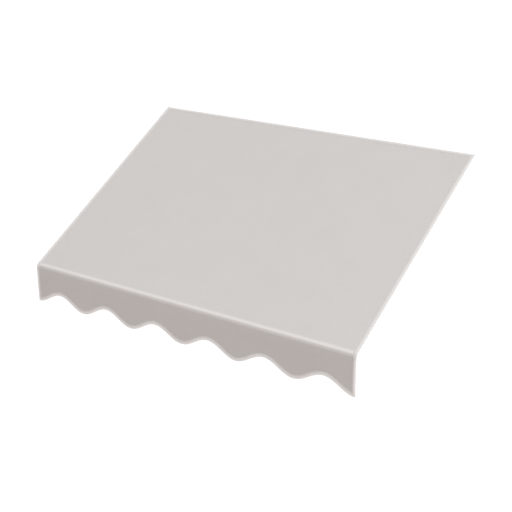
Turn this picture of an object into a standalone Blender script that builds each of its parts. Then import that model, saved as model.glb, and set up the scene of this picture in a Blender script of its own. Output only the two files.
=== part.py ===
"""Fixed window awning: a canvas cover with a wavy valance on a bolted aluminium frame.

X runs along the wall, Y points into the wall and Z up. The origin is the middle of the head
rail's back face, which lies on the wall.
"""

from math import acos, asin, atan2, cos, hypot, pi, radians, sin, tan

import bmesh
import bpy
from mathutils import Vector

# Cover
WIDTH = 1.500
SLOPE_LENGTH = 1.000
PITCH = radians(30)
CLOTH = 0.0009
TAPE = 0.0005
BINDING_WIDTH = 0.015
VALANCE_DEPTH = 0.1565
WAVE_RISE = 0.047
WAVE_COUNT = 6
SEAM_BELOW_BAR = 0.006
FLAP_WIDTH = 0.012
POCKET_LEAVE = 0.016

# Head rail
RAIL_HEIGHT = 0.054
RAIL_DEPTH = 0.036
RAIL_WALL = 0.0025
WELT_RADIUS = 0.0025
WELT_NECK = 0.0012
WELT_TAIL = 0.014
GROOVE_LIP = 0.0015
WALL_HOLE_RADIUS = 0.0045
WALL_HOLE_X = (0.190, 0.560)

# Front bar, rafters and struts
FRAME_INSET = 0.030
BAR_RADIUS = 0.021
BAR_WALL = 0.002
CAP_PLATE = 0.003
CAP_PLUG = 0.008
RAFTER = 0.025
RAFTER_WALL = 0.002
STRUT = 0.020
STRUT_WALL = 0.002
BRACKET_X = 0.420
STRUT_HEAD_S = 0.550
FOOT_DROP = 0.480

# Fittings
PLATE = 0.004
PLUG_LENGTH = 0.040
WING = 0.021
SADDLE_WIDTH = 0.030
SADDLE_BODY = 0.013
SADDLE_END_ANGLE = radians(-75)
SEAT_ANGLE = radians(-40)
SEAT_RIM = 0.002
EAR = 0.0035
EAR_RADIUS = 0.013
PIVOT_REACH = 0.022
FORK_PLATE_LENGTH = 0.064
FORK_PLATE_WIDTH = 0.032
FOOT_PLATE_WIDTH = 0.050
FOOT_PLATE_HEIGHT = 0.110
FOOT_PIVOT_REACH = 0.030

# Fasteners: shank radii, half widths across the flats and head heights
BOLT_RADIUS = 0.004
BOLT_FLAT = 0.0065
BOLT_HEAD = 0.0053
NUT_HEIGHT = 0.0065
THREAD_END = 0.003
SCREW_RADIUS = 0.0025
SCREW_HEAD_RADIUS = 0.0047
SCREW_CROWN_RADIUS = 0.0033
SCREW_HEAD = 0.003
SCREW_HEAD_EDGE = 0.0018
SCREW_LENGTH = 0.020

# Clearances and roundness
GAP = 0.0003
SLEEVE_CLEAR = 0.003
SMALL_SIDES = 12
HOLE_SIDES = 16
BAR_SIDES = 48
SHARP_ANGLE = radians(30)
ROLL_STEPS = 8
WAVE_STEPS = 14

# Worked out from the sizes above
COS = cos(PITCH)
SIN = sin(PITCH)
TAN = tan(PITCH)
TURN = pi / 2 - PITCH
UNDER_CLOTH = CLOTH + GAP
UNDER_TAPE = UNDER_CLOTH + TAPE + GAP
SHEET_Z = RAIL_HEIGHT / 2 + UNDER_TAPE / COS
PROJECTION = SLOPE_LENGTH * COS
CORNER_Z = SHEET_Z - SLOPE_LENGTH * SIN
ROLL_RADIUS = BAR_RADIUS + UNDER_CLOTH
BAR_S = SLOPE_LENGTH - ROLL_RADIUS * tan(TURN / 2)
BACK_S = (GAP + (UNDER_CLOTH + TAPE) * SIN) / COS
RAW_EDGE = TAPE + GAP
FRAME_END = WIDTH / 2 - FRAME_INSET
RAIL_END = FRAME_END - CAP_PLATE - GAP
SIDE_X = RAIL_END - RAFTER / 2
RAFTER_TOP = -UNDER_CLOTH
RAFTER_MIDDLE = RAFTER_TOP - RAFTER / 2
RAFTER_BOTTOM = RAFTER_TOP - RAFTER
PLUG = RAFTER - 2 * RAFTER_WALL - 2 * GAP
RAFTER_XS = (-SIDE_X, -BRACKET_X, BRACKET_X, SIDE_X)

ALONG_WALL = Vector((1, 0, 0))
OUT = Vector((0, -1, 0))
DOWN_SLOPE = Vector((0, -COS, -SIN))
SLOPE_NORMAL = Vector((0, -SIN, COS))

for leftover in list(bpy.data.objects):
    bpy.data.objects.remove(leftover)


def finish_colour(name, colour, roughness, metallic=0.0):
    finish = bpy.data.materials.new(name)
    finish.use_nodes = True
    shader = finish.node_tree.nodes["Principled BSDF"]
    shader.inputs["Base Color"].default_value = (*colour, 1)
    shader.inputs["Roughness"].default_value = roughness
    shader.inputs["Metallic"].default_value = metallic
    return finish


CANVAS = finish_colour("canvas", (0.630, 0.604, 0.584), 0.9)
BINDING_TAPE = finish_colour("binding_tape", (0.730, 0.708, 0.686), 0.85)
WELT_CORD = finish_colour("welt_cord", (0.700, 0.690, 0.670), 0.5)
FRAME_METAL = finish_colour("frame_aluminium", (0.780, 0.785, 0.790), 0.4, 1.0)
CAST_METAL = finish_colour("cast_aluminium", (0.640, 0.645, 0.650), 0.5, 1.0)
STEEL = finish_colour("stainless_steel", (0.600, 0.595, 0.585), 0.3, 1.0)
CAP_PLASTIC = finish_colour("cap_plastic", (0.560, 0.555, 0.545), 0.6)


# Places


def on_slope(x, s, h):
    """Point at x, s down the slope from the wall plane and h above the cloth's top face."""
    return Vector((x, -s * COS - h * SIN, SHEET_Z - s * SIN + h * COS))


def s_at(y, h):
    """Distance down the slope at which a line h above the cloth crosses the plane y."""
    return (-y - h * SIN) / COS


def turned_normal(angle):
    """The cover's outward normal after it has turned by an angle over the front bar."""
    return Vector((0, -sin(PITCH + angle), cos(PITCH + angle)))


BAR_CENTRE = on_slope(0, BAR_S, -ROLL_RADIUS)
SEAM_Z = BAR_CENTRE.z - ROLL_RADIUS - SEAM_BELOW_BAR


def side_word(x):
    return "left" if x < 0 else "right"


def rafter_word(x):
    kind = "side" if abs(x) == SIDE_X else "bracket"
    return f"{kind}_{side_word(x)}"


# Shapes


def model(name, shape, finish):
    """Makes an object of a finished bmesh, round faces smooth and edges sharp."""
    bmesh.ops.recalc_face_normals(shape, faces=shape.faces)
    mesh = bpy.data.meshes.new(name)
    shape.to_mesh(mesh)
    shape.free()
    mesh.materials.append(finish)
    mesh.shade_smooth()
    mesh.set_sharp_from_angle(angle=SHARP_ANGLE)
    made = bpy.data.objects.new(name, mesh)
    bpy.context.scene.collection.objects.link(made)
    return made


def loft(name, rings, finish, bores=None):
    """Extrudes a closed outline from ring to ring. Bores, one to a ring, leave it hollow."""
    loops = rings
    if bores:
        loops = [outer + inner for outer, inner in zip(rings, bores, strict=True)]
    shape = bmesh.new()
    place = shape.verts.layers.int.new("place")
    corners = [shape.verts.new(point) for point in loops[0]]
    for index, corner in enumerate(corners):
        corner[place] = index
    if bores:
        count = len(rings[0])
        faces = []
        for index in range(count):
            after = (index + 1) % count
            quad = (index, after, count + after, count + index)
            faces.append(shape.faces.new([corners[corner] for corner in quad]))
    else:
        faces = [shape.faces.new(corners)]
    for loop in loops[1:]:
        edges = list({edge for face in faces for edge in face.edges})
        grown = bmesh.ops.extrude_face_region(shape, geom=faces + edges)["geom"]
        faces = [part for part in grown if isinstance(part, bmesh.types.BMFace)]
        for corner in (part for part in grown if isinstance(part, bmesh.types.BMVert)):
            corner.co = loop[corner[place]]
    shape.verts.layers.int.remove(place)
    return model(name, shape, finish)


def rectangle(half_width, low, high):
    return [(-half_width, low), (half_width, low), (half_width, high), (-half_width, high)]


def square(half):
    return rectangle(half, -half, half)


def moved(points, step):
    return [point + step for point in points]


def prism(name, outline, run, finish):
    """A straight bar: an outline of points carried along a vector."""
    return loft(name, [outline, moved(outline, run)], finish)


def ring(centre, axis, radius, sides=SMALL_SIDES, hexagonal=False):
    """Points round an axis, on a circle or on a hexagon with that half width across flats."""
    first = axis.orthogonal().normalized()
    second = axis.cross(first).normalized()
    points = []
    for step in range(sides):
        angle = 2 * pi * step / sides
        reach = radius
        if hexagonal:
            reach = radius / cos((angle + pi / 6) % (pi / 3) - pi / 6)
        points.append(centre + first * cos(angle) * reach + second * sin(angle) * reach)
    return points


def cutter(name, rings):
    """A hidden tool body that only takes material away."""
    tool = loft(name, rings, FRAME_METAL)
    tool.hide_render = True
    tool.display_type = "WIRE"
    return tool


def hole_cutter(name, start, axis, radius, depth):
    ends = (start, start + axis * depth)
    return cutter(name, [ring(end, axis, radius, HOLE_SIDES) for end in ends])


def combine(made, others, operation):
    """Joins or cuts a body with all the others in one step."""
    bench = bpy.data.collections.new(f"{made.name}_{operation.lower()}")
    for other in others:
        bench.objects.link(other)
    step = made.modifiers.new(bench.name, "BOOLEAN")
    step.operation = operation
    step.solver = "EXACT"
    step.operand_type = "COLLECTION"
    step.collection = bench


def take_away(made, tools):
    combine(made, tools, "DIFFERENCE")


def add_on(made, bodies):
    """Welds hidden bodies to one."""
    for body in bodies:
        body.hide_render = True
        body.display_type = "WIRE"
    combine(made, bodies, "UNION")


def mitres(points, closed=False):
    """For each point of a flat path, the step that moves both its edges sideways by one."""
    steps = []
    last = len(points) - 1
    for index, point in enumerate(points):
        sides = []
        if closed or index > 0:
            sides.append(point - points[index - 1])
        if closed or index < last:
            sides.append(points[(index + 1) % len(points)] - point)
        normals = [Vector((-side.y, side.x)).normalized() for side in sides]
        total = sum(normals, Vector((0, 0)))
        steps.append(total / (1 + normals[0].dot(normals[-1])))
    return steps


def shifted(points, distance, closed=False):
    """A flat path moved to its left by a distance."""
    steps = mitres(points, closed)
    return [point + step * distance for point, step in zip(points, steps, strict=True)]


def in_section(points, x):
    """Flat points (y, z) placed at x."""
    return [Vector((x, point[0], point[1])) for point in points]


# Cover


def cover_stations():
    """Points down the cover's outer face in the plane x = 0, each with its outward normal."""
    stations = [(on_slope(0, BACK_S, 0), SLOPE_NORMAL)]
    for step in range(ROLL_STEPS + 1):
        normal = turned_normal(TURN * step / ROLL_STEPS)
        stations.append((BAR_CENTRE + normal * ROLL_RADIUS, normal))
    stations.append((Vector((0, -PROJECTION, SEAM_Z)), OUT))
    return stations


def canopy_sheet():
    stations = cover_stations()
    stations[0] = (on_slope(0, BACK_S + RAW_EDGE, 0), SLOPE_NORMAL)
    outer = [point for point, _ in stations]
    inner = [point - normal * CLOTH for point, normal in reversed(stations)]
    edge = WIDTH / 2 - RAW_EDGE
    outline = moved(outer + inner, ALONG_WALL * -edge)
    prism("canopy_sheet", outline, ALONG_WALL * 2 * edge, CANVAS)


def wave_z(x):
    """Height of the valance's lower edge."""
    middle = CORNER_Z - VALANCE_DEPTH + WAVE_RISE / 2
    return middle - WAVE_RISE / 2 * cos(2 * pi * WAVE_COUNT * x / WIDTH)


def valance_path():
    """The valance's edge in the plane of X and Z: down its left side, along and up again."""
    top = SEAM_Z - GAP
    count = WAVE_COUNT * WAVE_STEPS
    xs = [WIDTH * (step / count - 0.5) for step in range(count + 1)]
    wave = [Vector((x, wave_z(x))) for x in xs]
    return [Vector((xs[0], top)), *wave, Vector((xs[-1], top))]


def valance():
    path = valance_path()
    lower = shifted(path, RAW_EDGE)[1:-1]
    front = -PROJECTION
    back = front + CLOTH
    rings = []
    for point in lower:
        corners = ((front, point.y), (front, path[0].y), (back, path[0].y), (back, point.y))
        rings.append([Vector((point.x, y, z)) for y, z in corners])
    loft("valance", rings, CANVAS)


def binding(name, stations):
    """Tape folded over an edge. A station is its edge point, the way inward and the normal."""
    top = GAP + TAPE
    low = -UNDER_CLOTH
    section = (
        (0, top),
        (BINDING_WIDTH, top),
        (BINDING_WIDTH, GAP),
        (TAPE, GAP),
        (TAPE, low),
        (BINDING_WIDTH, low),
        (BINDING_WIDTH, low - TAPE),
        (0, low - TAPE),
    )
    rings = []
    for point, inward, normal in stations:
        rings.append([point + inward * along + normal * up for along, up in section])
    loft(name, rings, BINDING_TAPE)


def bindings():
    for side in (-1, 1):
        edge = ALONG_WALL * side * WIDTH / 2
        inward = ALONG_WALL * -side
        stations = [(point + edge, inward, normal) for point, normal in cover_stations()]
        binding(f"canopy_binding_{side_word(side)}", stations)
    reach = WIDTH / 2 - BINDING_WIDTH - GAP
    ends = [on_slope(x, BACK_S, 0) for x in (-reach, reach)]
    binding("canopy_binding_back", [(end, DOWN_SLOPE, SLOPE_NORMAL) for end in ends])
    path = valance_path()
    stations = []
    for point, step in zip(path, mitres(path), strict=True):
        place = Vector((point.x, -PROJECTION, point.y))
        stations.append((place, Vector((step.x, 0, step.y)), OUT))
    binding("valance_binding", stations)


def pocket_path():
    """Middle line, in (y, z), of the strip that closes the cover round the front bar."""
    reach = ROLL_RADIUS - UNDER_CLOTH - CLOTH / 2
    radius = BAR_RADIUS + GAP + CLOTH / 2
    flap_end = BAR_S - POCKET_LEAVE - 2 * FLAP_WIDTH
    upper_flap = on_slope(0, flap_end, reach - ROLL_RADIUS)
    upper_leave = on_slope(0, BAR_S - POCKET_LEAVE, reach - ROLL_RADIUS)
    lower_y = BAR_CENTRE.y - reach
    lower_leave = Vector((0, lower_y, BAR_CENTRE.z - POCKET_LEAVE))
    lower_flap = Vector((0, lower_y, SEAM_Z))
    slack = acos(radius / hypot(POCKET_LEAVE, reach))
    start = PITCH + atan2(reach, POCKET_LEAVE) - slack
    end = -pi + atan2(POCKET_LEAVE, reach) + slack
    steps = 3 * ROLL_STEPS
    path = [upper_flap, upper_leave]
    for step in range(steps + 1):
        angle = start + (end - start) * step / steps
        path.append(BAR_CENTRE + Vector((0, cos(angle), sin(angle))) * radius)
    path += [lower_leave, lower_flap]
    return [Vector((point.y, point.z)) for point in path]


def front_pocket():
    path = pocket_path()
    outline = shifted(path, CLOTH / 2) + shifted(path, -CLOTH / 2)[::-1]
    span = 2 * (RAIL_END - SLEEVE_CLEAR)
    pocket = prism("front_pocket", in_section(outline, -span / 2), ALONG_WALL * span, CANVAS)
    half = SADDLE_WIDTH / 2 + SLEEVE_CLEAR
    depth = 4 * BAR_RADIUS
    notches = []
    for x in RAFTER_XS:
        corners = rectangle(half, -2 * ROLL_RADIUS - CLOTH, CLOTH)
        start = [on_slope(x + across, BAR_S + GAP, up) for across, up in corners]
        rings = [start, moved(start, DOWN_SLOPE * -depth)]
        notches.append(cutter(f"notch_{rafter_word(x)}", rings))
    take_away(pocket, notches)


def side_sleeves():
    """Hat-shaped strips under the canopy that hold the side rafters to its edges."""
    inner = RAFTER / 2 + GAP
    outer = inner + CLOTH
    low = RAFTER_BOTTOM - GAP
    section = (
        (-outer - FLAP_WIDTH, RAFTER_TOP),
        (-inner, RAFTER_TOP),
        (-inner, low),
        (inner, low),
        (inner, RAFTER_TOP),
        (outer + FLAP_WIDTH, RAFTER_TOP),
        (outer + FLAP_WIDTH, RAFTER_TOP - CLOTH),
        (outer, RAFTER_TOP - CLOTH),
        (outer, low - CLOTH),
        (-outer, low - CLOTH),
        (-outer, RAFTER_TOP - CLOTH),
        (-outer - FLAP_WIDTH, RAFTER_TOP - CLOTH),
    )
    start = s_at(-RAIL_DEPTH - PLATE, low) + PLUG_LENGTH
    end = BAR_S - 4 * BAR_RADIUS
    for x in (-SIDE_X, SIDE_X):
        outline = [on_slope(x + across, start, up) for across, up in section]
        run = DOWN_SLOPE * (end - start)
        prism(f"side_sleeve_{side_word(x)}", outline, run, CANVAS)


# Head rail

RAIL_TOP = -UNDER_TAPE
GROOVE_RADIUS = WELT_RADIUS + GAP
GROOVE_H = RAIL_TOP - GROOVE_LIP - GROOVE_RADIUS
GROOVE_S = s_at(-(RAIL_DEPTH - RAIL_WALL - GROOVE_RADIUS), GROOVE_H)
RAIL_FOOT = -RAIL_HEIGHT / 2


def arc_past_gap(radius, half_gap):
    """Points round a circle in (s, h), from one side of a gap at its top to the other."""
    gap_angle = asin(half_gap / radius)
    points = []
    for step in range(SMALL_SIDES + 1):
        angle = pi / 2 + gap_angle + (2 * pi - 2 * gap_angle) * step / SMALL_SIDES
        points.append((GROOVE_S + cos(angle) * radius, GROOVE_H + sin(angle) * radius))
    return points


def rail_corner(y, h):
    point = on_slope(0, s_at(y, h), h)
    return Vector((point.y, point.z))


def rail_outline():
    """Rail section in (y, z) without its groove."""
    top_back = rail_corner(0, RAIL_TOP)
    top_front = rail_corner(-RAIL_DEPTH, RAIL_TOP)
    return [
        Vector((0, RAIL_FOOT)),
        top_back,
        top_front,
        Vector((-RAIL_DEPTH, RAIL_FOOT)),
    ]


def cavity_outline():
    """The rail's hollow in (y, z), stepped round the groove."""
    centre = on_slope(0, GROOVE_S, GROOVE_H)
    boss = GROOVE_RADIUS + RAIL_WALL
    back = -RAIL_WALL
    front = -RAIL_DEPTH + RAIL_WALL
    step_y = centre.y + boss
    step_z = centre.z - boss
    foot = RAIL_FOOT + RAIL_WALL
    under_top = RAIL_TOP - RAIL_WALL
    return [
        Vector((back, foot)),
        rail_corner(back, under_top),
        rail_corner(step_y, under_top),
        Vector((step_y, step_z)),
        Vector((front, step_z)),
        Vector((front, foot)),
    ]


def head_rail():
    groove = [on_slope(0, s, h) for s, h in arc_past_gap(GROOVE_RADIUS, WELT_NECK / 2 + GAP)]
    corners = rail_outline()
    mouth = [on_slope(0, GROOVE_S + side * (WELT_NECK / 2 + GAP), RAIL_TOP) for side in (-1, 1)]
    slot = [mouth[0], *groove, mouth[1]]
    section = corners[:2] + [Vector((point.y, point.z)) for point in slot] + corners[2:]
    length = ALONG_WALL * 2 * RAIL_END
    rail = prism("head_rail", in_section(section, -RAIL_END), length, FRAME_METAL)
    hollow_end = RAIL_END + RAIL_WALL
    hollow = [in_section(cavity_outline(), x) for x in (-hollow_end, hollow_end)]
    tools = [cutter("rail_hollow", hollow)]
    for x in [side * place for side in (-1, 1) for place in WALL_HOLE_X]:
        start = Vector((x, RAIL_WALL, SOCKET_Z))
        depth = RAIL_DEPTH + 2 * RAIL_WALL
        tools.append(hole_cutter(f"wall_hole_{x:.2f}", start, OUT, WALL_HOLE_RADIUS, depth))
    for _, screw_x in socket_screw_places():
        start = Vector((screw_x, -RAIL_DEPTH + 2 * RAIL_WALL, SOCKET_Z))
        name = f"rail_screw_hole_{screw_x:.2f}"
        tools.append(hole_cutter(name, start, OUT, SCREW_RADIUS + GAP, PLATE * 2))
    take_away(rail, tools)


def head_keder():
    bead = arc_past_gap(WELT_RADIUS, WELT_NECK / 2)
    half = WELT_NECK / 2
    tail_top = -UNDER_CLOTH
    section = [
        (GROOVE_S + half, tail_top),
        (GROOVE_S - WELT_TAIL, tail_top),
        (GROOVE_S - WELT_TAIL, tail_top - TAPE),
        (GROOVE_S - half, tail_top - TAPE),
        *bead,
    ]
    outline = [on_slope(-RAIL_END, s, h) for s, h in section]
    prism("head_keder", outline, ALONG_WALL * 2 * RAIL_END, WELT_CORD)


def head_rail_caps():
    plug_outline = shifted(cavity_outline(), GAP, closed=True)
    for side in (-1, 1):
        inner = side * (RAIL_END + GAP)
        outward = ALONG_WALL * side * CAP_PLATE
        name = f"head_rail_cap_{side_word(side)}"
        cap = prism(name, in_section(rail_outline(), inner), outward, CAP_PLASTIC)
        root = in_section(plug_outline, inner + side * CAP_PLATE / 2)
        plug_run = ALONG_WALL * -side * (CAP_PLUG + CAP_PLATE / 2)
        add_on(cap, [prism(f"{name}_plug", root, plug_run, CAP_PLASTIC)])


# Front bar


def front_bar():
    rings = [BAR_CENTRE + ALONG_WALL * x for x in (-RAIL_END, RAIL_END)]
    outer = [ring(end, ALONG_WALL, BAR_RADIUS, BAR_SIDES) for end in rings]
    inner = [ring(end, ALONG_WALL, BAR_RADIUS - BAR_WALL, BAR_SIDES) for end in rings]
    bar = loft("front_bar", outer, FRAME_METAL, inner)
    tools = []
    for x in RAFTER_XS:
        start = BAR_CENTRE + ALONG_WALL * x
        name = f"bar_screw_hole_{rafter_word(x)}"
        radius = SCREW_RADIUS + GAP
        tools.append(hole_cutter(name, start, seat_direction(), radius, 2 * BAR_RADIUS))
    take_away(bar, tools)


def front_bar_caps():
    plug_radius = BAR_RADIUS - BAR_WALL - GAP
    for side in (-1, 1):
        inner = RAIL_END + GAP
        places = (
            (inner + CAP_PLATE, BAR_RADIUS),
            (inner, BAR_RADIUS),
            (inner, plug_radius),
            (inner - CAP_PLUG, plug_radius),
        )
        rings = []
        for x, radius in places:
            centre = BAR_CENTRE + ALONG_WALL * side * x
            rings.append(ring(centre, ALONG_WALL, radius, BAR_SIDES // 2))
        loft(f"front_bar_cap_{side_word(side)}", rings, CAP_PLASTIC)


# Rafters and their end fittings

SADDLE_RADIUS = BAR_RADIUS + GAP
SADDLE_TOP = RAFTER_TOP + ROLL_RADIUS - GAP * 3
SADDLE_BACK = SADDLE_RADIUS + SADDLE_BODY
RAFTER_END_S = BAR_S - SADDLE_BACK - GAP
RAFTER_START_Y = -(RAIL_DEPTH + GAP + PLATE + GAP)
SOCKET_TOP = SHEET_Z - (RAIL_DEPTH + GAP + PLATE) * TAN - UNDER_CLOTH / COS - GAP
SOCKET_Z = (SOCKET_TOP + RAIL_FOOT) / 2


def rafters():
    for x in RAFTER_XS:
        loops = []
        for half in (RAFTER / 2, RAFTER / 2 - RAFTER_WALL):
            corners = [(across, RAFTER_MIDDLE + up) for across, up in square(half)]
            start = [on_slope(x + a, s_at(RAFTER_START_Y, h), h) for a, h in corners]
            end = [on_slope(x + a, RAFTER_END_S, h) for a, h in corners]
            loops.append([start, end])
        kind, side = rafter_word(x).split("_")
        rafter = loft(f"{kind}_rafter_{side}", loops[0], FRAME_METAL, loops[1])
        if kind == "bracket":
            tools = []
            for name, place in fork_screw_places(x):
                radius = SCREW_RADIUS + GAP
                depth = 4 * RAFTER_WALL
                tools.append(hole_cutter(f"rafter_{name}", place, SLOPE_NORMAL, radius, depth))
            take_away(rafter, tools)


def socket_screw_places():
    """Pairs of rafter x and screw x: one wing at a side rafter, two at a bracket rafter."""
    reach = RAFTER / 2 + WING / 2
    places = [(x, x - reach if x > 0 else x + reach) for x in (-SIDE_X, SIDE_X)]
    for x in (-BRACKET_X, BRACKET_X):
        places += [(x, x - reach), (x, x + reach)]
    return places


def rafter_sockets():
    """A plate on the head rail with a square plug that the rafter slides over."""
    back = -RAIL_DEPTH - GAP
    middle = back - PLATE / 2
    for x in RAFTER_XS:
        screws = [screw_x for rafter_x, screw_x in socket_screw_places() if rafter_x == x]
        low = min([x - RAFTER / 2] + [place - WING / 2 for place in screws])
        high = max([x + RAFTER / 2] + [place + WING / 2 for place in screws])
        corners = ((low, RAIL_FOOT), (high, RAIL_FOOT), (high, SOCKET_TOP), (low, SOCKET_TOP))
        plate = [Vector((across, back, up)) for across, up in corners]
        name = f"rafter_socket_{rafter_word(x)}"
        socket = prism(name, plate, OUT * PLATE, CAST_METAL)
        corners = [(across, RAFTER_MIDDLE + up) for across, up in square(PLUG / 2)]
        root = [on_slope(x + a, s_at(middle, h), h) for a, h in corners]
        end_s = s_at(middle, RAFTER_MIDDLE) + PLUG_LENGTH
        tip = [on_slope(x + a, end_s, h) for a, h in corners]
        add_on(socket, [loft(f"{name}_plug", [root, tip], CAST_METAL)])
        tools = []
        for screw_x in screws:
            start = Vector((screw_x, back + PLATE, SOCKET_Z))
            tool_name = f"{name}_hole_{screw_x:.2f}"
            tools.append(hole_cutter(tool_name, start, OUT, SCREW_RADIUS + GAP, 3 * PLATE))
        take_away(socket, tools)


def seat_direction():
    """From the front bar's axis through a saddle screw."""
    return DOWN_SLOPE * -cos(SEAT_ANGLE) + SLOPE_NORMAL * sin(SEAT_ANGLE)


def saddle_outline():
    """Saddle section as (towards the wall, up) from the front bar's axis."""
    first = asin(SADDLE_TOP / SADDLE_RADIUS)
    points = []
    for step in range(SMALL_SIDES + 1):
        angle = first + (SADDLE_END_ANGLE - first) * step / SMALL_SIDES
        points.append((SADDLE_RADIUS * cos(angle), SADDLE_RADIUS * sin(angle)))
    seat = SADDLE_RADIUS + SADDLE_BODY - GAP
    half = SCREW_HEAD_RADIUS + SEAT_RIM
    for side in (-1, 1):
        along = seat * cos(SEAT_ANGLE) - side * half * sin(SEAT_ANGLE)
        up = seat * sin(SEAT_ANGLE) + side * half * cos(SEAT_ANGLE)
        points.append((along, up))
    shelf = RAFTER_BOTTOM + ROLL_RADIUS - GAP
    points += [(SADDLE_BACK, shelf), (SADDLE_BACK, SADDLE_TOP)]
    return points


def front_saddles():
    """A cast seat behind the front bar with a square plug for the rafter."""
    for x in RAFTER_XS:
        name = f"front_saddle_{rafter_word(x)}"
        outline = []
        for along, up in saddle_outline():
            outline.append(on_slope(x - SADDLE_WIDTH / 2, BAR_S - along, up - ROLL_RADIUS))
        saddle = prism(name, outline, ALONG_WALL * SADDLE_WIDTH, CAST_METAL)
        corners = [(across, RAFTER_MIDDLE + up) for across, up in square(PLUG / 2)]
        root_s = BAR_S - SADDLE_BACK + SADDLE_BODY / 3
        root = [on_slope(x + a, root_s, h) for a, h in corners]
        run = DOWN_SLOPE * -(PLUG_LENGTH + SADDLE_BODY / 3)
        add_on(saddle, [prism(f"{name}_plug", root, run, CAST_METAL)])
        start = BAR_CENTRE + ALONG_WALL * x
        radius = SCREW_RADIUS + GAP
        depth = 3 * BAR_RADIUS
        take_away(saddle, [hole_cutter(f"{name}_hole", start, seat_direction(), radius, depth)])


# Struts, their forks and wall feet

EAR_INNER = STRUT / 2 + GAP
EAR_OUTER = EAR_INNER + EAR
FORK_FACE = RAFTER_BOTTOM - GAP
FORK_PIVOT_H = FORK_FACE - PIVOT_REACH
FORK_SCREW_REACH = FORK_PLATE_LENGTH / 2 - 2 * SCREW_HEAD_RADIUS + GAP


def strut_ends(x):
    """The pivots of a strut: on its wall foot and under its rafter."""
    foot = Vector((x, -FOOT_PIVOT_REACH, -FOOT_DROP))
    head = on_slope(x, STRUT_HEAD_S, FORK_PIVOT_H)
    return foot, head


def fork_screw_places(x):
    """Names and places, on the fork's lower face, of the screws up into the rafter."""
    places = []
    for word, step in (("upper", -FORK_SCREW_REACH), ("lower", FORK_SCREW_REACH)):
        point = on_slope(x, STRUT_HEAD_S + step, FORK_FACE - EAR)
        places.append((f"{word}_fork_screw_{side_word(x)}", point))
    return places


def ear_outline(pivot, towards, across, root):
    """A lug with a round end about its pivot and its foot at a distance towards the plate."""
    points = [pivot + towards * root - across * EAR_RADIUS, pivot + towards * root + across * EAR_RADIUS]
    for step in range(SMALL_SIDES + 1):
        angle = pi * step / SMALL_SIDES
        points.append(pivot + (across * cos(angle) - towards * sin(angle)) * EAR_RADIUS)
    return points


def finish_fork(fork, pivot, towards, across, root, tools):
    """Welds two ears to a fork's plate and cuts their eyes and the plate's holes."""
    ears = []
    for side in (-1, 1):
        outline = moved(ear_outline(pivot, towards, across, root), ALONG_WALL * side * EAR_INNER)
        ears.append(prism(f"{fork.name}_ear_{side}", outline, ALONG_WALL * side * EAR, CAST_METAL))
    add_on(fork, ears)
    start = pivot - ALONG_WALL * 2 * EAR_OUTER
    eye = hole_cutter(f"{fork.name}_eye", start, ALONG_WALL, BOLT_RADIUS + GAP, 4 * EAR_OUTER)
    take_away(fork, [eye, *tools])


def strut_brackets():
    """Forks screwed under the bracket rafters."""
    for x in (-BRACKET_X, BRACKET_X):
        _, pivot = strut_ends(x)
        corners = rectangle(FORK_PLATE_WIDTH / 2, -FORK_PLATE_LENGTH / 2, FORK_PLATE_LENGTH / 2)
        plate = [on_slope(x + a, STRUT_HEAD_S + s, FORK_FACE) for a, s in corners]
        fork = prism(f"strut_bracket_{side_word(x)}", plate, SLOPE_NORMAL * -EAR, CAST_METAL)
        tools = []
        for name, place in fork_screw_places(x):
            start = place - SLOPE_NORMAL * EAR
            radius = SCREW_RADIUS + GAP
            tools.append(hole_cutter(f"{name}_hole", start, SLOPE_NORMAL, radius, 3 * EAR))
        finish_fork(fork, pivot, SLOPE_NORMAL, DOWN_SLOPE, PIVOT_REACH - EAR / 2, tools)


def wall_feet():
    """Forks on plates that lie on the wall, each with two screw holes."""
    for x in (-BRACKET_X, BRACKET_X):
        pivot, _ = strut_ends(x)
        corners = rectangle(FOOT_PLATE_WIDTH / 2, -FOOT_PLATE_HEIGHT / 2, FOOT_PLATE_HEIGHT / 2)
        plate = [Vector((x + across, 0, pivot.z + up)) for across, up in corners]
        foot = prism(f"wall_foot_{side_word(x)}", plate, OUT * EAR, CAST_METAL)
        reach = (FOOT_PLATE_HEIGHT / 2 + EAR_RADIUS) / 2
        tools = []
        for side in (-1, 1):
            start = Vector((x, EAR, pivot.z + side * reach))
            name = f"{foot.name}_hole_{side}"
            tools.append(hole_cutter(name, start, OUT, WALL_HOLE_RADIUS, 3 * EAR))
        upright = Vector((0, 0, 1))
        finish_fork(foot, pivot, -OUT, upright, FOOT_PIVOT_REACH - EAR / 2, tools)


def struts():
    for x in (-BRACKET_X, BRACKET_X):
        foot, head = strut_ends(x)
        along = (head - foot).normalized()
        upright = ALONG_WALL.cross(along)
        reach = EAR_RADIUS - GAP * 2
        loops = []
        for half in (STRUT / 2, STRUT / 2 - STRUT_WALL):
            ends = (foot - along * reach, head + along * reach)
            corners = square(half)
            loops.append([[end + ALONG_WALL * a + upright * b for a, b in corners] for end in ends])
        strut = loft(f"strut_{side_word(x)}", loops[0], FRAME_METAL, loops[1])
        tools = []
        for word, pivot in (("foot", foot), ("head", head)):
            start = pivot - ALONG_WALL * STRUT
            name = f"{strut.name}_{word}_hole"
            tools.append(hole_cutter(name, start, ALONG_WALL, BOLT_RADIUS + GAP, 2 * STRUT))
        take_away(strut, tools)


# Fasteners


def bolt(name, seat, axis):
    """A hexagon bolt, head seated at a point and shank along the axis."""
    shank = 2 * (EAR_OUTER + GAP) + NUT_HEIGHT + THREAD_END
    rings = [
        ring(seat + axis * shank, axis, BOLT_RADIUS),
        ring(seat, axis, BOLT_RADIUS),
        ring(seat, axis, BOLT_FLAT, hexagonal=True),
        ring(seat - axis * BOLT_HEAD, axis, BOLT_FLAT, hexagonal=True),
    ]
    loft(name, rings, STEEL)


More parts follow.
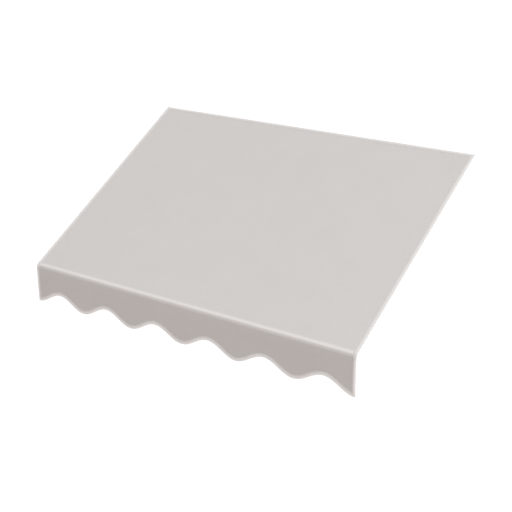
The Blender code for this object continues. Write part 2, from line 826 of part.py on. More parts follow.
def nut(name, seat, axis):
    """A hexagon nut from its seat along the axis."""
    ends = (seat, seat + axis * NUT_HEIGHT)
    outer = [ring(end, axis, BOLT_FLAT, hexagonal=True) for end in ends]
    inner = [ring(end, axis, BOLT_RADIUS + GAP) for end in ends]
    loft(name, outer, STEEL, inner)


def screw(name, seat, axis):
    """A pan head screw, head seated at a point and shank along the axis."""
    rings = [
        ring(seat + axis * SCREW_LENGTH, axis, SCREW_RADIUS),
        ring(seat, axis, SCREW_RADIUS),
        ring(seat, axis, SCREW_HEAD_RADIUS),
        ring(seat - axis * SCREW_HEAD_EDGE, axis, SCREW_HEAD_RADIUS),
        ring(seat - axis * SCREW_HEAD, axis, SCREW_CROWN_RADIUS),
    ]
    loft(name, rings, STEEL)


def strut_fasteners():
    for x in (-BRACKET_X, BRACKET_X):
        outward = ALONG_WALL if x > 0 else -ALONG_WALL
        step = outward * (EAR_OUTER + GAP)
        for word, pivot in zip(("foot", "head"), strut_ends(x), strict=True):
            bolt(f"strut_{word}_bolt_{side_word(x)}", pivot + step, -outward)
            nut(f"strut_{word}_nut_{side_word(x)}", pivot - step, -outward)
        for name, place in fork_screw_places(x):
            screw(name, place - SLOPE_NORMAL * GAP, SLOPE_NORMAL)


def fitting_screws():
    plate_front = -RAIL_DEPTH - GAP - PLATE - GAP
    for number, (_, screw_x) in enumerate(sorted(socket_screw_places(), key=lambda pair: pair[1])):
        seat = Vector((screw_x, plate_front, SOCKET_Z))
        screw(f"socket_screw_{number + 1}", seat, -OUT)
    for x in RAFTER_XS:
        seat = BAR_CENTRE + ALONG_WALL * x + seat_direction() * (SADDLE_RADIUS + SADDLE_BODY)
        screw(f"saddle_screw_{rafter_word(x)}", seat, -seat_direction())


canopy_sheet()
valance()
bindings()
head_keder()
front_pocket()
side_sleeves()
head_rail()
head_rail_caps()
front_bar()
front_bar_caps()
rafters()
rafter_sockets()
front_saddles()
struts()
strut_brackets()
wall_feet()
strut_fasteners()
fitting_screws()
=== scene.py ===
"""Window and door awning: a bound canvas canopy with a wavy valance on a braced aluminium frame."""

from math import acos, asin, atan2, cos, hypot, pi, radians, sin, tan

import bmesh
import bpy
from mathutils import Matrix, Vector


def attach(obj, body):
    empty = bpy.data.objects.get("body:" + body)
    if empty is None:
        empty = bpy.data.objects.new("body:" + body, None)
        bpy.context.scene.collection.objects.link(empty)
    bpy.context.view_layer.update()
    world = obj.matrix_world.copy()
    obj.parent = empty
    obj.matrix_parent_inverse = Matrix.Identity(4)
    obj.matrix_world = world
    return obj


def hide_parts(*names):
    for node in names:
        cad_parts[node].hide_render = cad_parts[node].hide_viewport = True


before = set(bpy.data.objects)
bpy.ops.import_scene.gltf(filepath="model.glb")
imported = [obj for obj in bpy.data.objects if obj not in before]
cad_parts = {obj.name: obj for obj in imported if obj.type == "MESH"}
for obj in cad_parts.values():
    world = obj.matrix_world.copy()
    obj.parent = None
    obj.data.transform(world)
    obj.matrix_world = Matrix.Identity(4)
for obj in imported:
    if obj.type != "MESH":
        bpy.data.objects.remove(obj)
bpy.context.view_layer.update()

# Sizes of the awning, in metres

WIDTH = 1.500
SLOPE_LENGTH = 1.000
PITCH = radians(30)
CLOTH = 0.0009
TAPE = 0.0005
GAP = 0.0003
BINDING_WIDTH = 0.015
VALANCE_DEPTH = 0.1565
WAVE_RISE = 0.047
WAVE_COUNT = 6
SEAM_BELOW_BAR = 0.006
FLAP_WIDTH = 0.012
POCKET_LEAVE = 0.016
RAIL_HEIGHT = 0.054
RAIL_DEPTH = 0.036
RAIL_WALL = 0.0025
WELT_RADIUS = 0.0025
WELT_NECK = 0.0012
WELT_TAIL = 0.014
GROOVE_LIP = 0.0015
FRAME_INSET = 0.030
BAR_RADIUS = 0.021
CAP_PLATE = 0.003
RAFTER = 0.025
STRUT = 0.020
BRACKET_X = 0.420
STRUT_HEAD_S = 0.550
FOOT_DROP = 0.480
PLATE = 0.004
PLUG_LENGTH = 0.040
SADDLE_WIDTH = 0.030
SADDLE_BODY = 0.013
SLEEVE_CLEAR = 0.003
WING = 0.021
EAR = 0.0035
PIVOT_REACH = 0.022
FOOT_PIVOT_REACH = 0.030
FORK_PLATE_LENGTH = 0.064
SEAT_ANGLE = radians(-40)
BOLT_RADIUS = 0.004
BOLT_FLAT = 0.0065
BOLT_HEAD = 0.0053
NUT_HEIGHT = 0.0065
THREAD_END = 0.003
SCREW_RADIUS = 0.0025
SCREW_HEAD_RADIUS = 0.0047
SCREW_CROWN_RADIUS = 0.0033
SCREW_HEAD = 0.003
SCREW_LENGTH = 0.020
SOCKET_FLAT = 0.0014

COS, SIN, TAN = cos(PITCH), sin(PITCH), tan(PITCH)
TURN = pi / 2 - PITCH
UNDER_CLOTH = CLOTH + GAP
UNDER_TAPE = UNDER_CLOTH + TAPE + GAP
SHEET_Z = RAIL_HEIGHT / 2 + UNDER_TAPE / COS
PROJECTION = SLOPE_LENGTH * COS
CORNER_Z = SHEET_Z - SLOPE_LENGTH * SIN
ROLL_RADIUS = BAR_RADIUS + UNDER_CLOTH
BAR_S = SLOPE_LENGTH - ROLL_RADIUS * tan(TURN / 2)
BACK_S = (GAP + (UNDER_CLOTH + TAPE) * SIN) / COS
RAW_EDGE = TAPE + GAP
RAIL_END = WIDTH / 2 - FRAME_INSET - CAP_PLATE - GAP
SIDE_X = RAIL_END - RAFTER / 2
RAFTER_XS = (-SIDE_X, -BRACKET_X, BRACKET_X, SIDE_X)
RAFTER_TOP = -UNDER_CLOTH
RAFTER_BOTTOM = RAFTER_TOP - RAFTER
EAR_OUTER = STRUT / 2 + GAP + EAR
SADDLE_RADIUS = BAR_RADIUS + GAP
SOCKET_TOP = SHEET_Z - (RAIL_DEPTH + GAP + PLATE) * TAN - UNDER_CLOTH / COS - GAP
SOCKET_Z = (SOCKET_TOP - RAIL_HEIGHT / 2) / 2

ALONG_WALL = Vector((1, 0, 0))
OUT = Vector((0, -1, 0))
DOWN_SLOPE = Vector((0, -COS, -SIN))
SLOPE_NORMAL = Vector((0, -SIN, COS))


def on_slope(x, s, h):
    """A point s down the slope from the wall and h above the canopy's outer face."""
    return Vector((x, 0, SHEET_Z)) + DOWN_SLOPE * s + SLOPE_NORMAL * h


def s_at(y, h):
    """How far down the slope a point is, from its y and its height above the outer face."""
    return -(y + h * SIN) / COS


BAR_CENTRE = on_slope(0, BAR_S, -ROLL_RADIUS)
SEAM_Z = BAR_CENTRE.z - ROLL_RADIUS - SEAM_BELOW_BAR
SLOPE_RUN = BAR_S - BACK_S
ROLL_RUN = ROLL_RADIUS * TURN
COVER_RUN = SLOPE_RUN + ROLL_RUN + BAR_CENTRE.z - SEAM_Z
SAG_MIDDLE = 0.0022
SAG_SIDE = 0.0009
HELD_END = 0.05

# Height, length and phase of the two slow waves in which the valance sways
SWAYS = ((0.0008, 0.43, 0.6), (0.0005, 0.19, 2.1))


# Canopy and valance surfaces


def hump(value, low, high):
    """Rises from 0 at both ends to 1 in the middle, level at each."""
    if not low < value < high:
        return 0.0
    return sin(pi * (value - low) / (high - low)) ** 2


def sag(x, s):
    """How far the canopy hangs below a flat plane between its rafters."""
    along = hump(s, HELD_END, BAR_S - HELD_END) ** 0.7
    clear = RAFTER / 2
    across = SAG_MIDDLE * hump(x, -BRACKET_X + clear, BRACKET_X - clear)
    across += SAG_SIDE * hump(abs(x), BRACKET_X + clear, SIDE_X - clear)
    return across * along


def cover(x, run):
    """The canopy's outer face and normal at a distance from its back edge along the cloth."""
    if run <= SLOPE_RUN:
        return on_slope(x, BACK_S + run, -sag(x, BACK_S + run)), SLOPE_NORMAL
    if run <= SLOPE_RUN + ROLL_RUN:
        angle = PITCH + (run - SLOPE_RUN) / ROLL_RADIUS
        normal = Vector((0, -sin(angle), cos(angle)))
        return BAR_CENTRE + ALONG_WALL * x + normal * ROLL_RADIUS, normal
    z = BAR_CENTRE.z - (run - SLOPE_RUN - ROLL_RUN)
    return Vector((x, -PROJECTION, z)), OUT


def wave_z(x):
    middle = CORNER_Z - VALANCE_DEPTH + WAVE_RISE / 2
    return middle - WAVE_RISE / 2 * cos(2 * pi * WAVE_COUNT * x / WIDTH)


def valance_face(x, z):
    """The hanging strip's outer face, which sways a little towards its free edge."""
    free = max(0.0, (SEAM_Z - z) / (SEAM_Z - CORNER_Z + VALANCE_DEPTH))
    sway = sum(height * sin(2 * pi * x / length + phase) for height, length, phase in SWAYS)
    return Vector((x, -PROJECTION + sway * free**1.5, z))


# Mesh making


def carried_grid(columns, rows, place, flat):
    """A grid over the unit square carried to its place, with a UV map in metres of flat cloth."""
    made = bmesh.new()
    bmesh.ops.create_grid(made, x_segments=columns, y_segments=rows, size=0.5)
    bmesh.ops.translate(made, vec=(0.5, 0.5, 0), verts=made.verts)
    threads = made.loops.layers.uv.new("threads")
    for face in made.faces:
        face.smooth = True
        for loop in face.loops:
            loop[threads].uv = flat(loop.vert.co.x, loop.vert.co.y)
    for vert in made.verts:
        vert.co = place(vert.co.x, vert.co.y)
    for edge in made.edges:
        edge.smooth = not edge.is_boundary
    return made


def picked(values, share):
    return values[round(share * (len(values) - 1))]


def lengths_along(points):
    """How far along a path each of its points is."""
    run = [0.0]
    for before, after in zip(points, points[1:]):
        run.append(run[-1] + (after - before).length)
    return run


def swept(section, stations, place):
    """A closed section carried along stations, with capped ends. place gives a point for both."""
    loop = [*section, section[0]]
    around = lengths_along([Vector(point) for point in loop])
    along = lengths_along([place(section[0], station) for station in stations])
    made = carried_grid(
        len(section),
        len(stations) - 1,
        lambda u, v: place(picked(loop, u), picked(stations, v)),
        lambda u, v: (picked(around, u), picked(along, v)),
    )
    bmesh.ops.remove_doubles(made, verts=made.verts, dist=1e-6)
    rims = [edge for edge in made.edges if edge.is_boundary]
    if rims:
        bmesh.ops.holes_fill(made, edges=rims, sides=0)
    bmesh.ops.recalc_face_normals(made, faces=made.faces)
    mark_sharp(made, radians(50))
    return made


def mark_sharp(made, angle):
    for face in made.faces:
        face.smooth = True
    for edge in made.edges:
        edge.smooth = len(edge.link_faces) == 2 and edge.calc_face_angle(0) < angle


def as_piece(name, made, material, slot, nodes):
    """Turns a finished bmesh into a piece that rides on the awning and stands for its nodes."""
    mesh = bpy.data.meshes.new(name)
    made.to_mesh(mesh)
    made.free()
    piece = bpy.data.objects.new(name, mesh)
    bpy.context.scene.collection.objects.link(piece)
    mesh.materials.append(material)
    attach(piece, "root")
    if nodes:
        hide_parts(*nodes)
    return piece


def thicken(piece, thickness, offset):
    step = piece.modifiers.new("cloth_thickness", "SOLIDIFY")
    step.thickness = thickness
    step.offset = offset
    step.use_even_offset = True


# Shader building


def link(tree, source, target):
    tree.links.new(source, target)


def feed(tree, node, inputs):
    """Links each input that is given a socket, and sets any other."""
    for key, value in inputs.items():
        if isinstance(value, bpy.types.NodeSocket):
            tree.links.new(value, node.inputs[key])
        else:
            node.inputs[key].default_value = value
    return node


def add_node(tree, kind, settings=None, inputs=None):
    node = tree.nodes.new(kind)
    for key, value in (settings or {}).items():
        setattr(node, key, value)
    return feed(tree, node, inputs or {})


def combined(tree, operation, first, second=0.0):
    node = add_node(tree, "ShaderNodeMath", {"operation": operation}, {0: first, 1: second})
    return node.outputs[0]


def blended(tree, blend, first, second):
    """Two colours put together at full strength."""
    settings = {"data_type": "RGBA", "blend_type": blend}
    return add_node(tree, "ShaderNodeMix", settings, {0: 1.0, 6: first, 7: second}).outputs[2]


def coloured(tree, amounts):
    inputs = dict(enumerate(amounts))
    return add_node(tree, "ShaderNodeCombineColor", inputs=inputs).outputs[0]


def noise(tree, place, scale, detail):
    inputs = {"Vector": place, "Scale": scale, "Detail": detail}
    return add_node(tree, "ShaderNodeTexNoise", inputs=inputs).outputs["Fac"]


def stretched(tree, place, scale):
    return add_node(tree, "ShaderNodeMapping", inputs={"Vector": place, "Scale": scale}).outputs[0]


def ranged(tree, value, low, high, new_low, new_high, kind="LINEAR"):
    inputs = {0: value, 1: low, 2: high, 3: new_low, 4: new_high}
    settings = {"clamp": True, "interpolation_type": kind}
    return add_node(tree, "ShaderNodeMapRange", settings, inputs).outputs[0]


def hill(tree, value, start, peak, end, height):
    """A smooth rise to a height at the peak and back to nothing."""
    rise = ranged(tree, value, start, peak, 0.0, 1.0, "SMOOTHSTEP")
    fall = ranged(tree, value, peak, end, height, 0.0, "SMOOTHSTEP")
    return combined(tree, "MULTIPLY", rise, fall)


def effect(name, inputs, outputs):
    """An empty node group with named inputs and outputs: an effect that materials share."""
    tree = bpy.data.node_groups.new(name, "ShaderNodeTree")
    for socket, kind, value in inputs:
        made = tree.interface.new_socket(socket, in_out="INPUT", socket_type=kind)
        if value is not None:
            made.default_value = value
    for socket, kind in outputs:
        tree.interface.new_socket(socket, in_out="OUTPUT", socket_type=kind)
    return tree, tree.nodes.new("NodeGroupInput"), tree.nodes.new("NodeGroupOutput")


def use(tree, group, inputs):
    return add_node(tree, "ShaderNodeGroup", {"node_tree": group}, inputs)


def plain_weave():
    """Yarns crossing over and under at a pitch, from a UV map in metres."""
    inputs = [("Threads", "NodeSocketVector", None), ("Pitch", "NodeSocketFloat", 0.0006)]
    outputs = [("Height", "NodeSocketFloat"), ("Yarn shade", "NodeSocketFloat")]
    tree, entry, leave = effect("plain_weave", inputs, outputs)
    threads = entry.outputs["Threads"]
    inputs = {"Vector": threads, "Scale": 90.0, "Detail": 1.0}
    jitter = add_node(tree, "ShaderNodeTexNoise", inputs=inputs).outputs["Color"]
    inputs = {0: jitter, 1: (0.0004, 0.0004, 0), 2: threads}
    shift = add_node(tree, "ShaderNodeVectorMath", {"operation": "MULTIPLY_ADD"}, inputs)
    parts = add_node(tree, "ShaderNodeSeparateXYZ", inputs={0: shift.outputs[0]})
    turns = combined(tree, "DIVIDE", pi, entry.outputs["Pitch"])
    warp = combined(tree, "SINE", combined(tree, "MULTIPLY", parts.outputs[0], turns))
    weft = combined(tree, "SINE", combined(tree, "MULTIPLY", parts.outputs[1], turns))
    crossing = combined(tree, "MULTIPLY", warp, weft)
    link(tree, ranged(tree, crossing, -1, 1, 0, 1), leave.inputs["Height"])
    slubs = noise(tree, stretched(tree, threads, (25.0, 900.0, 1.0)), 1.0, 2.0)
    link(tree, ranged(tree, slubs, 0.3, 0.7, 0.985, 1.015), leave.inputs["Yarn shade"])
    return tree


def faint_mottling():
    """Soft patches where cloth has faded and gathered dust unevenly."""
    inputs = [("Position", "NodeSocketVector", None), ("Depth", "NodeSocketFloat", 0.02)]
    tree, entry, leave = effect("faint_mottling", inputs, [("Shade", "NodeSocketFloat")])
    wide = noise(tree, entry.outputs["Position"], 7.0, 3.0)
    fine = combined(tree, "MULTIPLY", noise(tree, entry.outputs["Position"], 60.0, 2.0), 0.5)
    centred = combined(tree, "SUBTRACT", combined(tree, "ADD", wide, fine), 0.75)
    strength = combined(tree, "MULTIPLY", entry.outputs["Depth"], 4.0)
    scaled = combined(tree, "MULTIPLY", centred, strength)
    link(tree, combined(tree, "ADD", scaled, 1.0), leave.inputs["Shade"])
    return tree


def metal_surface():
    """Height and roughness change of drawn or cast metal: lines or grain, with worn edges."""
    inputs = [
        ("Position", "NodeSocketVector", None),
        ("Stretch", "NodeSocketVector", (1.0, 1.0, 1.0)),
        ("Worn", "NodeSocketFloat", 0.0),
        ("Roughness", "NodeSocketFloat", 0.4),
        ("Spread", "NodeSocketFloat", 0.08),
    ]
    outputs = [(name, "NodeSocketFloat") for name in ("Height", "Roughness", "Shade")]
    tree, entry, leave = effect("metal_surface", inputs, outputs)
    place = entry.outputs["Position"]
    grain = noise(tree, stretched(tree, place, entry.outputs["Stretch"]), 1.0, 4.0)
    smudge = noise(tree, place, 28.0, 3.0)
    link(tree, grain, leave.inputs["Height"])
    swing = combined(tree, "MULTIPLY", combined(tree, "SUBTRACT", smudge, 0.5), 2.0)
    change = combined(tree, "MULTIPLY", swing, entry.outputs["Spread"])
    rough = combined(tree, "ADD", entry.outputs["Roughness"], change)
    polish = combined(tree, "MULTIPLY", entry.outputs["Worn"], 0.12)
    link(tree, combined(tree, "SUBTRACT", rough, polish), leave.inputs["Roughness"])
    dull = ranged(tree, smudge, 0.3, 0.7, 0.93, 1.0)
    bright = combined(tree, "MULTIPLY", entry.outputs["Worn"], 0.08)
    link(tree, combined(tree, "ADD", dull, bright), leave.inputs["Shade"])
    return tree


WEAVE = plain_weave()
MOTTLING = faint_mottling()
METAL = metal_surface()


def new_material(name, preview):
    material = bpy.data.materials.new(name)
    material.use_nodes = True
    material.diffuse_color = (*preview, 1.0)
    tree = material.node_tree
    return material, tree, tree.nodes["Principled BSDF"]


def cloth_material(name, colour, pitch, relief, mottle, painted_light=None):
    """Solution-dyed woven cloth. Its last argument gives the painted highlight and shade added to
    each colour along bends and folds.
    """
    material, tree, shader = new_material(name, colour)
    threads = add_node(tree, "ShaderNodeUVMap", {"uv_map": "threads"}).outputs[0]
    place = add_node(tree, "ShaderNodeTexCoord").outputs["Object"]
    weave = use(tree, WEAVE, {"Threads": threads, "Pitch": pitch})
    patches = use(tree, MOTTLING, {"Position": place, "Depth": mottle})
    shade = combined(tree, "MULTIPLY", weave.outputs["Yarn shade"], patches.outputs["Shade"])
    # Painted shade: darker in the hollows of the weave
    painted_hollow_shade = ranged(tree, weave.outputs["Height"], 0.0, 0.5, 0.93, 1.0)
    shade = combined(tree, "MULTIPLY", shade, painted_hollow_shade)
    tone = coloured(tree, [shade] * 3)
    # Painted highlight and shade at bends and folds, added to the cloth's tone
    if painted_light:
        parts = add_node(tree, "ShaderNodeSeparateXYZ", inputs={0: threads})
        amounts = painted_light(tree, parts.outputs[0], parts.outputs[1])
        tone = blended(tree, "ADD", tone, coloured(tree, amounts))
    link(tree, blended(tree, "MULTIPLY", (*colour, 1.0), tone), shader.inputs["Base Color"])
    rough = ranged(tree, weave.outputs["Height"], 0.0, 1.0, 0.92, 0.78)
    link(tree, rough, shader.inputs["Roughness"])
    inputs = {"Height": weave.outputs["Height"], "Strength": relief, "Distance": pitch / 4}
    bump = add_node(tree, "ShaderNodeBump", inputs=inputs)
    link(tree, bump.outputs[0], shader.inputs["Normal"])
    shader.inputs["Sheen Weight"].default_value = 0.08
    shader.inputs["Sheen Roughness"].default_value = 0.5
    return material


def metal_material(name, colour, roughness, spread, stretch, relief, metallic=1.0):
    """Metal or plastic whose eased edges are a little brighter and smoother. stretch is how many
    grains there are in a metre along each axis, and relief is how deep they look."""
    material, tree, shader = new_material(name, colour)
    place = add_node(tree, "ShaderNodeTexCoord").outputs["Object"]
    worn = add_node(tree, "ShaderNodeAttribute", {"attribute_name": "worn"}).outputs["Fac"]
    inputs = {"Position": place, "Stretch": stretch, "Worn": worn}
    surface = use(tree, METAL, {**inputs, "Roughness": roughness, "Spread": spread})
    grey = coloured(tree, [surface.outputs["Shade"]] * 3)
    link(tree, blended(tree, "MULTIPLY", (*colour, 1.0), grey), shader.inputs["Base Color"])
    link(tree, surface.outputs["Roughness"], shader.inputs["Roughness"])
    inputs = {"Height": surface.outputs["Height"], "Strength": relief, "Distance": 0.0003}
    bump = add_node(tree, "ShaderNodeBump", inputs=inputs)
    link(tree, bump.outputs[0], shader.inputs["Normal"])
    shader.inputs["Metallic"].default_value = metallic
    return material


# Painted light and shade: distances are in metres along the flat cloth, and amounts are shares of
# its colour

TAPE_FOLD = BINDING_WIDTH + 0.0008


def painted_highlight_over_bar(tree, across, along):
    """Painted light on the canvas: painted shade near the back turning lighter down the slope, a
    painted highlight along the top of its bend over the front bar, and a faint one over the rest of
    the bend.
    """
    crest = hill(tree, along, SLOPE_RUN - 0.008, SLOPE_RUN + 0.006, SLOPE_RUN + 0.0125, 0.235)
    bend = hill(tree, along, SLOPE_RUN, SLOPE_RUN + 0.014, SLOPE_RUN + ROLL_RUN, 0.03)
    slope = ranged(tree, along, 0.0, SLOPE_RUN, -0.015, 0.010)
    return [combined(tree, "ADD", combined(tree, "ADD", crest, bend), slope)] * 3


def from_fold(tree, across):
    """Distance from a tape's fold, which runs down the middle of its flat width."""
    return combined(tree, "ABSOLUTE", combined(tree, "SUBTRACT", across, TAPE_FOLD))


def painted_highlight_side_fold(tree, across, along):
    """Painted highlight along the tape's folded edge, stronger where it hangs."""
    edge = from_fold(tree, across)
    slope = ranged(tree, edge, 0.0015, 0.0145, 0.14, -0.01)
    share = ranged(tree, along, SLOPE_RUN, SLOPE_RUN + ROLL_RUN, 0.0, 1.0)
    amounts = []
    for hung in painted_highlight_hung_fold(tree, across, along):
        change = combined(tree, "MULTIPLY", combined(tree, "SUBTRACT", hung, slope), share)
        amounts.append(combined(tree, "ADD", slope, change))
    return amounts


# Painted highlight along the back tape's folded edge, with a little painted shade further in
def painted_highlight_back_fold(tree, across, along):
    return [ranged(tree, from_fold(tree, across), 0.0015, 0.012, 0.15, -0.04)] * 3


def painted_highlight_hung_fold(tree, across, along):
    """Painted highlight on tape that hangs: strongest at its fold, with a little painted shade
    further in, and a little stronger in blue than in red.
    """
    edge = from_fold(tree, across)
    return [ranged(tree, edge, 0.0030, 0.0138, most, -0.05) for most in (0.46, 0.49, 0.52)]


CANVAS_COLOUR = (0.629, 0.601, 0.583)
TAPE_COLOUR = (0.690, 0.664, 0.644)
# The thread is made lighter than the canvas as painted light, offsetting the shade round its raised
# stitches
THREAD_COLOUR = (0.720, 0.692, 0.670)
DRAWN_COLOUR = (0.600, 0.607, 0.615)

# Colour, pitch of the yarns, depth of the weave and strength of the mottling
CANVAS_CLOTH = (CANVAS_COLOUR, 0.0006, 0.5, 0.012)
TAPE_CLOTH = (TAPE_COLOUR, 0.0004, 0.4, 0.010)

CANVAS = cloth_material("greige_canvas", *CANVAS_CLOTH)
# Canvas with a painted highlight over the front bar and painted light down the slope
CANOPY_CANVAS = cloth_material("greige_canvas_over_bar", *CANVAS_CLOTH, painted_highlight_over_bar)
# Tapes with painted highlights along their folds
SIDE_TAPE = cloth_material("pale_side_tape", *TAPE_CLOTH, painted_highlight_side_fold)
BACK_TAPE = cloth_material("pale_back_tape", *TAPE_CLOTH, painted_highlight_back_fold)
HUNG_TAPE = cloth_material("pale_valance_tape", *TAPE_CLOTH, painted_highlight_hung_fold)
SEWING_THREAD = metal_material(
    "sewing_thread", THREAD_COLOUR, 0.6, 0.05, (900.0, 900.0, 900.0), 0.3, metallic=0.0
)
WELT = metal_material(
    "vinyl_welt", (0.700, 0.690, 0.670), 0.5, 0.06, (60.0, 400.0, 400.0), 0.2, metallic=0.0
)
RAIL_METAL = metal_material(
    "anodised_extrusion", DRAWN_COLOUR, 0.38, 0.07, (1.5, 900.0, 900.0), 0.08
)
RAFTER_METAL = metal_material(
    "anodised_tube_down_the_slope", DRAWN_COLOUR, 0.38, 0.07, (900.0, 3.0, 3.0), 0.04
)
CAST_METAL = metal_material(
    "cast_aluminium_fitting", (0.500, 0.505, 0.512), 0.5, 0.08, (700.0, 700.0, 700.0), 0.5
)
STEEL = metal_material(
    "stainless_fastener", (0.520, 0.515, 0.505), 0.28, 0.08, (500.0, 500.0, 500.0), 0.15
)
CAP_PLASTIC = metal_material(
    "grey_cap_plastic", (0.420, 0.415, 0.405), 0.55, 0.05, (800.0, 800.0, 800.0), 0.35, metallic=0.0
)


# Canopy cloth, valance and their binding

CLOTH_EDGE = WIDTH / 2 - RAW_EDGE
ROLL_SHARE = (0.56, 0.92)
TAPE_CROWN = 0.0020
TAPE_BELLY = 0.0014
BACK_TAPE_BELLY = 0.0007


def cover_run(share):
    """Spreads the canopy's rows: coarse down the slope and fine round the bar."""
    runs = (RAW_EDGE, SLOPE_RUN - 0.01, SLOPE_RUN + ROLL_RUN + 0.002, COVER_RUN)
    marks = list(zip((0.0, *ROLL_SHARE, 1.0), runs))
    for (low, low_run), (high, high_run) in zip(marks, marks[1:]):
        if share <= high + 1e-9:
            return low_run + (high_run - low_run) * (share - low) / (high - low)
    return COVER_RUN


def canopy_cloth():
    """The sloping canvas, with its roll over the front bar down to the seam."""

    def flat(u, v):
        return CLOTH_EDGE * (2 * u - 1), cover_run(1 - v)

    made = carried_grid(180, 150, lambda u, v: cover(*flat(u, v))[0], flat)
    piece = as_piece("canopy_cloth", made, CANOPY_CANVAS, "canvas", ["canopy_sheet"])
    thicken(piece, CLOTH, -1)


def valance_cloth():
    """The hanging strip, from the seam to its wavy edge."""

    def spot(u, v):
        x = CLOTH_EDGE * (2 * u - 1)
        low = wave_z(x) + RAW_EDGE
        return x, low + (SEAM_Z - low) * v

    def flat(u, v):
        x, z = spot(u, v)
        return x, COVER_RUN + SEAM_Z - z

    made = carried_grid(WAVE_COUNT * 32, 26, lambda u, v: valance_face(*spot(u, v)), flat)
    piece = as_piece("valance_cloth", made, CANVAS, "canvas", ["valance"])
    thicken(piece, CLOTH, -1)


def tape_section(crown, belly):
    """Folded tape round a raw edge, as (inward, outward from the cloth's face)."""
    width = BINDING_WIDTH
    upper = [
        (width, 0.0001),
        (width - 0.0001, 0.0004),
        (width - 0.0009, 0.0007),
        (width * 0.72, 0.0007 + (crown - 0.0007) * 0.55),
        (width * 0.50, crown * 0.97),
        (width * 0.30, crown),
        (width * 0.14, crown * 0.82),
        (width * 0.05, crown * 0.45),
        (0.0, -CLOTH / 2),
    ]
    under = -CLOTH
    lower = [
        (width * 0.05, under - belly * 0.45),
        (width * 0.14, under - belly * 0.82),
        (width * 0.30, under - belly),
        (width * 0.70, under - belly * 0.97),
        (width - 0.0009, under - 0.0006),
        (width - 0.0001, under - 0.0004),
        (width, under - 0.0001),
        (TAPE, under - 0.0001),
        (TAPE, 0.0001),
    ]
    return upper + lower


def cover_tapes():
    """Tape down both sides and along the back, mitred at the back corners."""
    shares = [step / 90 for step in range(91)]
    section = tape_section(TAPE_CROWN, TAPE_BELLY)
    for side, word in ((-1, "left"), (1, "right")):

        def place(point, share, side=side):
            inward, outward = point
            run = cover_run(share)
            run -= RAW_EDGE * (COVER_RUN - run) / (COVER_RUN - RAW_EDGE)
            run += inward * max(0.0, 1 - run / (SLOPE_RUN / 2))
            spot, normal = cover(side * (WIDTH / 2 - inward), run)
            return spot + normal * outward

        made = swept(section, shares, place)
        node = f"canopy_binding_{word}"
        piece = as_piece(f"side_tape_{word}", made, SIDE_TAPE, "binding_tape", [node])

    def place_back(point, share):
        inward, outward = point
        x = (WIDTH / 2 - inward) * (2 * share - 1)
        return on_slope(x, BACK_S + inward, outward)

    steps = [step / 60 for step in range(61)]
    made = swept(tape_section(TAPE_CROWN, BACK_TAPE_BELLY), steps, place_back)
    piece = as_piece("back_tape", made, BACK_TAPE, "binding_tape", ["canopy_binding_back"])


def valance_edge():
    """The valance's outer edge as (x, z) with the inward step of each point."""
    count = WAVE_COUNT * 28
    xs = [WIDTH * (step / count - 0.5) for step in range(count + 1)]
    wave = [Vector((x, wave_z(x))) for x in xs]
    drops = [SEAM_Z - (SEAM_Z - wave[0].y) * share for share in (0, 0.25, 0.5, 0.75)]
    path = [Vector((xs[0], z)) for z in drops]
    path += wave + [Vector((xs[-1], z)) for z in reversed(drops)]
    steps = []
    for index, point in enumerate(path):
        before = path[max(index - 1, 0)]
        after = path[min(index + 1, len(path) - 1)]
        ins = (point - before).normalized() if index else (after - point).normalized()
        outs = (after - point).normalized() if index < len(path) - 1 else ins
        first = Vector((-ins.y, ins.x))
        second = Vector((-outs.y, outs.x))
        steps.append((first + second) / (1 + first.dot(second)))
    return list(zip(path, steps))


def valance_tape():
    """Tape down one side of the valance, along its waves and up the other side."""

    def place(point, station):
        inward, outward = point
        edge, step = station
        spot = edge + step * inward
        return valance_face(spot.x, spot.y) + OUT * outward

    stations = valance_edge()
    made = swept(tape_section(TAPE_CROWN, TAPE_BELLY), stations, place)
    piece = as_piece("valance_tape", made, HUNG_TAPE, "binding_tape", ["valance_binding"])
    length = lengths_along([edge for edge, _ in stations])[-1]


# Cloth under the canopy


def pocket_path():
    """Middle line, in (y, z), of the strip that closes the canopy round the front bar."""
    reach = ROLL_RADIUS - UNDER_CLOTH - CLOTH / 2
    radius = BAR_RADIUS + GAP + CLOTH / 2
    lift = reach - ROLL_RADIUS
    lower_y = BAR_CENTRE.y - reach
    slack = acos(radius / hypot(POCKET_LEAVE, reach))
    start = PITCH + atan2(reach, POCKET_LEAVE) - slack
    end = -pi + atan2(POCKET_LEAVE, reach) + slack
    flap_end = BAR_S - POCKET_LEAVE - 2 * FLAP_WIDTH
    path = [on_slope(0, flap_end + FLAP_WIDTH * 2 * step / 6, lift) for step in range(7)]
    for step in range(41):
        angle = start + (end - start) * step / 40
        path.append(BAR_CENTRE + Vector((0, cos(angle), sin(angle))) * radius)
    foot = SEAM_Z - FLAP_WIDTH
    first_z = BAR_CENTRE.z - POCKET_LEAVE
    path += [Vector((0, lower_y, first_z + (foot - first_z) * step / 10)) for step in range(11)]
    return path


NOTCH_HALF = SADDLE_WIDTH / 2 + SLEEVE_CLEAR
POCKET_COLUMN = 0.018


def pocket_xs():
    """Columns across the pocket, with one at each side of each notch for a saddle."""
    span = RAIL_END - SLEEVE_CLEAR
    notches = [x + side * NOTCH_HALF for x in RAFTER_XS for side in (-1, 1)]
    marks = sorted([-span, span, *(x for x in notches if abs(x) < span)])
    xs = []
    for low, high in zip(marks, marks[1:]):
        count = max(2, round((high - low) / POCKET_COLUMN))
        xs += [low + (high - low) * step / count for step in range(count)]
    return [*xs, marks[-1]]


